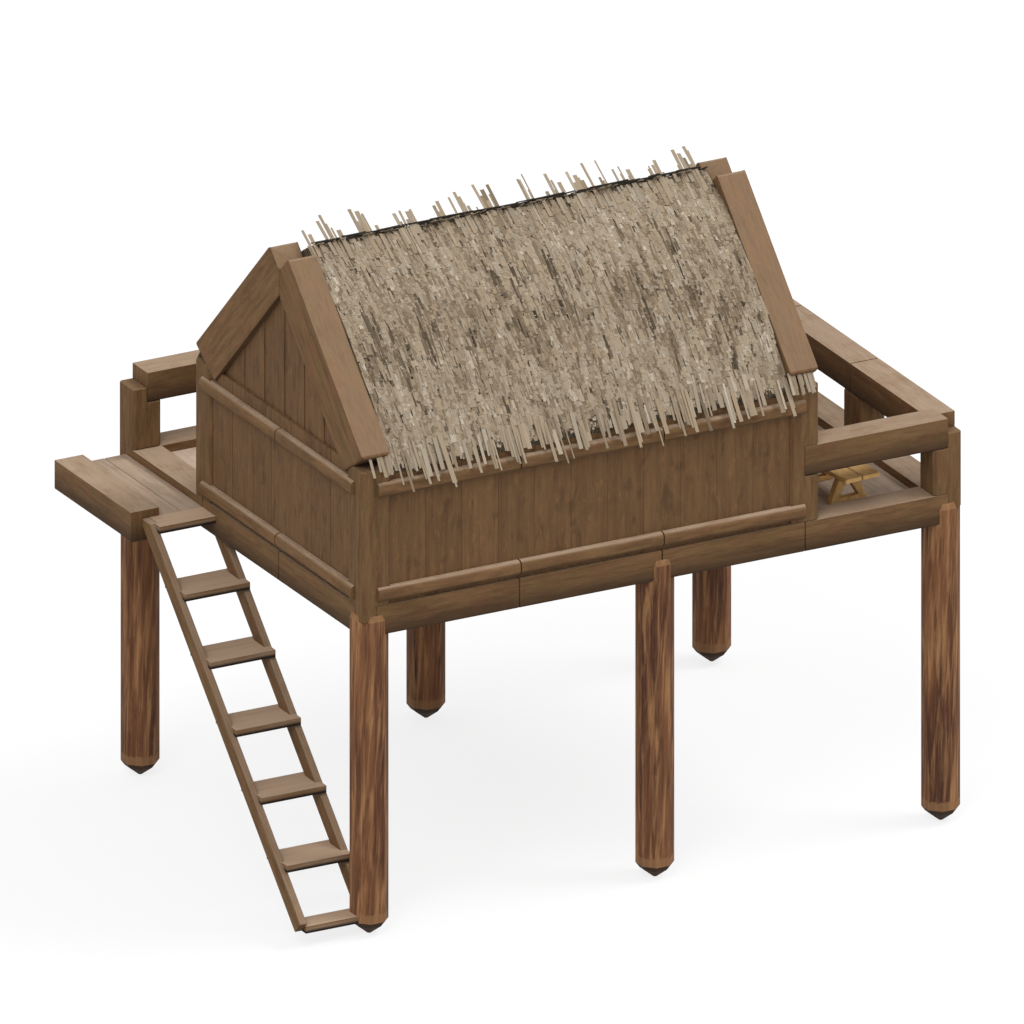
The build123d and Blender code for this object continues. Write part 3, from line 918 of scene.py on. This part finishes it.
class STILT_HOUSE_OT_thatch(bpy.types.Operator):
    """Lay the straw of the roof"""

    bl_idname = "stilt_house.thatch"
    bl_label = "Lay the thatch"

    seed = 13
    bed_edge = 0.012
    bed_tone = 0.2
    side_margin = 0.02
    shortest = 0.03
    edge_columns = 80
    edge_span = (-0.17, 0.02)
    patch_grid = (64, 15)
    patch_depth = 0.16
    stained_share = 0.05
    belt_depth, belt_place, belt_spread = 0.12, 0.47, 0.17
    runs = 18
    tuft_bundles = 5
    tuft_margin = 0.03
    hanging_thick = (0.8, 1.4)
    straying = 0.02
    corner_bundles = 18
    corner_wide = 0.25
    over_post = 0.045
    ridge_shadow_bundles = 150
    back_ridge_share = 0.35

    def bed(self, slope, material):
        """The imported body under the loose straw, which stands for the solid thatch."""
        node = f"{slope.side}_thatch"
        outline = face_outline(node, X, -1)
        wall_low, wall_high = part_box(f"{slope.side}_wall")
        edge = wall_low.y if slope.side == "front" else wall_high.y
        outline = clip(outline, 0, edge, -slope.sign)
        body = prism(outline, X, slope.low.x, slope.high.x, self.bed_edge)
        batch = Batch()
        batch.add_bmesh(body, self.bed_tone)
        return batch.build(f"{slope.side}_thatch_bed", material, "thatch", node)

    def cover(self, slope, look, draw, material):
        """Flat bundles all over the slope in patches of one tone, some of them stained dark."""
        count = look.slope_strips
        margin = self.side_margin
        x = draw.uniform(slope.low.x + margin, slope.high.x - margin, count)
        across = (x - slope.low.x) / (slope.high.x - slope.low.x)
        s = draw.uniform(-0.02, slope.eave - 0.06, count)
        reach = look.reach * draw.uniform(0.35, 1.75, count)
        ragged = draw.uniform(*self.edge_span, self.edge_columns)
        edge = slope.eave + ragged[(across * self.edge_columns).astype(int)]
        room = edge + draw.uniform(-0.02, 0.02, count) - s
        reach = np.minimum(reach, np.maximum(room, self.shortest))
        width = look.width * draw.uniform(0.45, 1.6, count)
        thick = look.thick * draw.uniform(0.4, 1.0, count)
        columns, rows = self.patch_grid
        patches = draw.uniform(-1, 1, (columns, rows)) * self.patch_depth
        stains = draw.uniform(0, 1, (columns * 2, rows)) < self.stained_share
        row = np.clip(s / slope.total * rows, 0, rows - 1).astype(int)
        tones = draw.normal(0.55, 0.11, count) + patches[(across * columns).astype(int), row]
        off_belt = (s / slope.eave - self.belt_place) / self.belt_spread
        tones -= self.belt_depth * np.exp(-(off_belt ** 2))
        in_stain = stains[(across * columns * 2).astype(int), row]
        stained = in_stain & (draw.uniform(0, 1, count) < 0.7)
        tones = np.where(stained, tones * 0.55, tones)
        tones = np.where(draw.uniform(0, 1, count) < 0.03, tones * 0.5, tones)
        lifts = draw.uniform(-0.006, 0.001, count), draw.uniform(0.0005, 0.006, count)
        yaw = draw.normal(0, self.straying, count)
        tones = np.clip(tones, 0, 1)
        name = f"{slope.side}_thatch_straw"
        slope.lay(name, x, s, reach, width, thick, lifts, yaw, tones, material)

    def rotten(self, slope, look, draw, material):
        """Dark bundles on top of the cover, in runs where water has come down."""
        count = look.stains
        run = draw.integers(0, self.runs, count)
        middle = draw.uniform(slope.low.x + 0.2, slope.high.x - 0.2, self.runs)[run]
        start = draw.uniform(0.3, slope.eave - 0.8, self.runs)[run]
        x = middle + draw.normal(0, 0.035, count)
        reach = draw.uniform(0.1, 0.36, count)
        s = start + draw.uniform(-0.2, 0.4, count)
        width = look.width * draw.uniform(0.35, 1.0, count)
        thick = look.thick * draw.uniform(0.6, 1.0, count)
        lift = draw.uniform(0.004, 0.007, count)
        yaw = draw.normal(0, self.straying, count)
        tones = draw.uniform(0.1, 0.3, count)
        name = f"{slope.side}_thatch_stains"
        slope.lay(name, x, s, reach, width, thick, (lift, lift), yaw, tones, material)

    def tufts(self, slope, look, draw, count, longest):
        """Where the bundles of each tuft lie, how far each stands out, and its width."""
        each = self.tuft_bundles
        total = count * each
        pitch = (slope.high.x - slope.low.x) / count
        middle = slope.low.x + pitch * (np.arange(count) + draw.uniform(0.1, 0.9, count))
        order = np.tile(np.arange(each), count)
        first = order == 0
        side = draw.choice([-1.0, 1.0], total)
        off = side * order * look.width * draw.uniform(0.7, 1.1, total)
        margin = self.tuft_margin
        x = np.clip(np.repeat(middle, each) + off, slope.low.x + margin, slope.high.x - margin)
        lead = np.repeat(longest * draw.uniform(0.55, 1, count), each)
        out = lead * np.where(first, 1.0, draw.uniform(-0.1, 0.9, total))
        first_width = draw.uniform(0.5, 1.5, total)
        other_width = draw.uniform(0.5, 2.0, total)
        return x, out, look.width * np.where(first, first_width, other_width)

    def eave(self, slope, look, draw, material):
        """Tufts that hang past the closed eave, each with one long bundle."""
        x, out, width = self.tufts(slope, look, draw, look.eave_tufts, look.eave_reach)
        count = len(x)
        start = draw.uniform(0.08, 0.3, count)
        thick = look.thick * draw.uniform(*self.hanging_thick, count)
        tones = np.clip(draw.normal(0.56, 0.13, count), 0, 1)
        lift = draw.uniform(0.002, 0.012, count)
        yaw = draw.normal(0, self.straying, count)
        name, s, reach = f"{slope.side}_thatch_eave", slope.eave - start, start + out
        slope.lay(name, x, s, reach, width, thick, (lift, lift), yaw, tones, material)

    def corners(self, slope, look, draw, material):
        """Short bundles over the corner posts, under the heels of the gable boards."""
        each, wide = self.corner_bundles, self.corner_wide
        count = each * 2
        outward = draw.uniform(0, wide, count)
        x = np.concatenate([slope.low.x - outward[:each], slope.high.x + outward[each:]])
        start = np.full(count, 0.2)
        reach = start + draw.uniform(-0.06, 0.06, count)
        width = look.width * draw.uniform(0.6, 1.6, count)
        thick = look.thick * draw.uniform(*self.hanging_thick, count)
        tones = np.clip(draw.normal(0.56, 0.13, count), 0, 1)
        lift = self.over_post + draw.uniform(0.0, 0.02, count)
        yaw = draw.normal(0, self.straying, count)
        name, s = f"{slope.side}_thatch_corners", slope.eave - start
        slope.lay(name, x, s, reach, width, thick, (lift, lift), yaw, tones, material, wide)

    def ridge(self, slope, look, draw, material, tallest):
        """Tufts that stand past the ridge in line with the slope."""
        x, out, width = self.tufts(slope, look, draw, look.ridge_tufts, tallest)
        count = len(x)
        start = draw.uniform(0.05, 0.34, count)
        thick = look.thick * draw.uniform(*self.hanging_thick, count)
        tones = np.clip(draw.normal(0.54, 0.1, count), 0, 1)
        lift = draw.uniform(0.004, 0.014, count)
        yaw = draw.normal(0, 0.015, count)
        name, reach = f"{slope.side}_thatch_ridge", -(start + out)
        slope.lay(name, x, start, reach, width, thick, (lift, lift), yaw, tones, material)

    def ridge_shadow(self, slope, look, draw, material):
        """Dark strips laid along the ridge behind the front tufts: painted shade in the gap between
        the slopes.
        """
        count, margin = self.ridge_shadow_bundles, self.side_margin
        long = draw.uniform(0.12, 0.4, count)
        x = draw.uniform(slope.low.x + margin, slope.high.x - margin - long)
        y = ridge_line() + draw.uniform(0.0, 0.03, count)
        z = slope.high.z + draw.uniform(-0.012, 0.034, count)
        roots = np.stack([x, y, z], 1)
        tips = np.stack([x + long, y, z + draw.normal(0, 0.006, count)], 1)
        sides = np.tile([0.0, 1.0, 0.0], (count, 1))
        normals = np.tile([0.0, 0.0, 1.0], (count, 1))
        width = look.width * draw.uniform(0.5, 1.0, count)
        thick = look.thick * draw.uniform(1.4, 3.4, count)
        mesh, ring = strip_mesh("thatch_crown", roots, tips, sides, normals, width, thick)
        # Tones near 0 give the shadow straw colour: painted shade.
        tones = np.repeat(draw.uniform(0, 0.04, count), ring)
        finish_piece("thatch_crown", mesh, tones, material, ())

    def execute(self, context):
        look = settings().straw
        draw = np.random.default_rng(self.seed)
        loose = straw_finish(look)
        packed = straw_bed(look)
        back_reach = look.ridge_reach * self.back_ridge_share
        for side, tallest in (("front", look.ridge_reach), ("back", back_reach)):
            slope = Slope(side)
            self.bed(slope, packed)
            self.cover(slope, look, draw, loose)
            self.rotten(slope, look, draw, loose)
            self.eave(slope, look, draw, loose)
            self.corners(slope, look, draw, loose)
            self.ridge(slope, look, draw, loose, tallest)
        self.ridge_shadow(slope, look, draw, loose)
        return {"FINISHED"}


class STILT_HOUSE_OT_bench(bpy.types.Operator):
    """Finish the bench"""

    bl_idname = "stilt_house.bench"
    bl_label = "Finish the bench"

    def execute(self, context):
        look = settings().bench
        material = board_wood("bench_boards", "y", look.light, look.dark, look.soot_and_shade)
        for node in ("bench_seat", "bench_legs"):
            dress(node, material, look.edge)
        return {"FINISHED"}


class STILT_HOUSE_OT_stage(bpy.types.Operator):
    """Set the floor, the light and the camera"""

    bl_idname = "stilt_house.stage"
    bl_label = "Set the stage"

    picture = 1024
    stilt_foot_pixel = (369, 932)
    camera_pitch = 68.3
    camera_turn = -28.1
    camera_distance = 30.0
    camera_far = 200
    lamp_angles = {"left_lamp": (42, -45), "right_lamp": (35, 72)}
    lamp_spread = 25
    floor_half = 60
    floor_rough = 0.9

    def floor(self, look):
        """A pale floor that keeps a soft shadow."""
        size = self.floor_half
        mesh = bpy.data.meshes.new("stage_floor")
        corners = [(-size, -size, 0), (size, -size, 0), (size, size, 0), (-size, size, 0)]
        mesh.from_pydata(corners, [], [range(len(corners))])
        floor = bpy.data.objects.new("stage_floor", mesh)
        bpy.context.scene.collection.objects.link(floor)
        finish = Finish("pale_floor")
        seen = finish.seen()
        finish.feed(finish.shader.inputs["Base Color"], finish.mix(seen, look.bounce, look.floor))
        finish.shader.inputs["Roughness"].default_value = self.floor_rough
        white = finish.node("ShaderNodeEmission", None, {"Color": (1, 1, 1), "Strength": 1.0})
        plain = Socket(finish, finish.shader.outputs[0])
        shown = finish.node("ShaderNodeMixShader", None, {0: seen * look.glow, 1: plain, 2: white})
        finish.feed(finish.tree.nodes["Material Output"].inputs["Surface"], shown)
        mesh.materials.append(finish.material)

    def light(self, look):
        """An even sky and two broad lamps, high over the viewer's left and right shoulders."""
        world = bpy.context.scene.world or bpy.data.worlds.new("sky")
        bpy.context.scene.world = world
        world.use_nodes = True
        sky = Nodes(world.node_tree)
        even = sky.node("ShaderNodeBackground", None, {"Color": (1, 1, 1), "Strength": look.sky})
        white = sky.node("ShaderNodeBackground", None, {"Color": (1, 1, 1), "Strength": 1.0})
        shown = sky.node("ShaderNodeMixShader", None, {0: sky.seen(), 1: even, 2: white})
        sky.feed(sky.tree.nodes["World Output"].inputs["Surface"], shown)
        for name, (pitch, turn) in self.lamp_angles.items():
            lamp = bpy.data.lights.new(name, "SUN")
            lamp.energy = getattr(look, name)
            lamp.angle = math.radians(self.lamp_spread)
            sun = bpy.data.objects.new(name, lamp)
            sun.rotation_euler = (math.radians(pitch), 0, math.radians(turn))
            bpy.context.scene.collection.objects.link(sun)

    def camera(self, look):
        """A parallel view at the photograph's angle and framing."""
        low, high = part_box("front_stilts")
        foot = Vector((low.x + (high.y - low.y) / 2, (low.y + high.y) / 2, 0))
        lens = bpy.data.cameras.new("view")
        lens.type = "ORTHO"
        lens.ortho_scale = self.picture * look.metres_per_pixel
        lens.clip_end = self.camera_far
        view = bpy.data.objects.new("view", lens)
        view.rotation_euler = (math.radians(self.camera_pitch), 0, math.radians(self.camera_turn))
        right, up, back = view.rotation_euler.to_matrix().transposed()
        half = self.picture / 2
        across = (half - self.stilt_foot_pixel[0]) * look.metres_per_pixel
        rise = (self.stilt_foot_pixel[1] - half) * look.metres_per_pixel
        view.location = foot + right * across + up * rise + back * self.camera_distance
        bpy.context.scene.collection.objects.link(view)
        bpy.context.scene.camera = view

    def execute(self, context):
        look = settings().stage
        self.floor(look)
        self.light(look)
        self.camera(look)
        context.scene.view_settings.view_transform = "Standard"
        return {"FINISHED"}


PIECES = (
    STILT_HOUSE_OT_timber, STILT_HOUSE_OT_stilts, STILT_HOUSE_OT_walls, STILT_HOUSE_OT_decks,
    STILT_HOUSE_OT_thatch, STILT_HOUSE_OT_bench, STILT_HOUSE_OT_stage,
)


class STILT_HOUSE_PT_panel(bpy.types.Panel):
    """The steps that dress the house"""

    bl_label = "Stilt house"
    bl_idname = "STILT_HOUSE_PT_panel"
    bl_space_type = "VIEW_3D"
    bl_region_type = "UI"
    bl_category = "Stilt house"

    def draw(self, context):
        for piece in PIECES:
            self.layout.operator(piece.bl_idname)


LOOKS = (TimberLook, StiltLook, PlankLook, StrawLook, BenchLook, StageLook, HouseLook)


def register():
    for item in (*LOOKS, *PIECES, STILT_HOUSE_PT_panel):
        bpy.utils.register_class(item)
    bpy.types.Scene.stilt_house = PointerProperty(type=HouseLook)


def unregister():
    del bpy.types.Scene.stilt_house
    for item in reversed((*LOOKS, *PIECES, STILT_HOUSE_PT_panel)):
        bpy.utils.unregister_class(item)


def main():
    register()
    for piece in PIECES:
        group, name = piece.bl_idname.split(".")
        getattr(getattr(bpy.ops, group), name)()


if __name__ == "__main__":
    main()
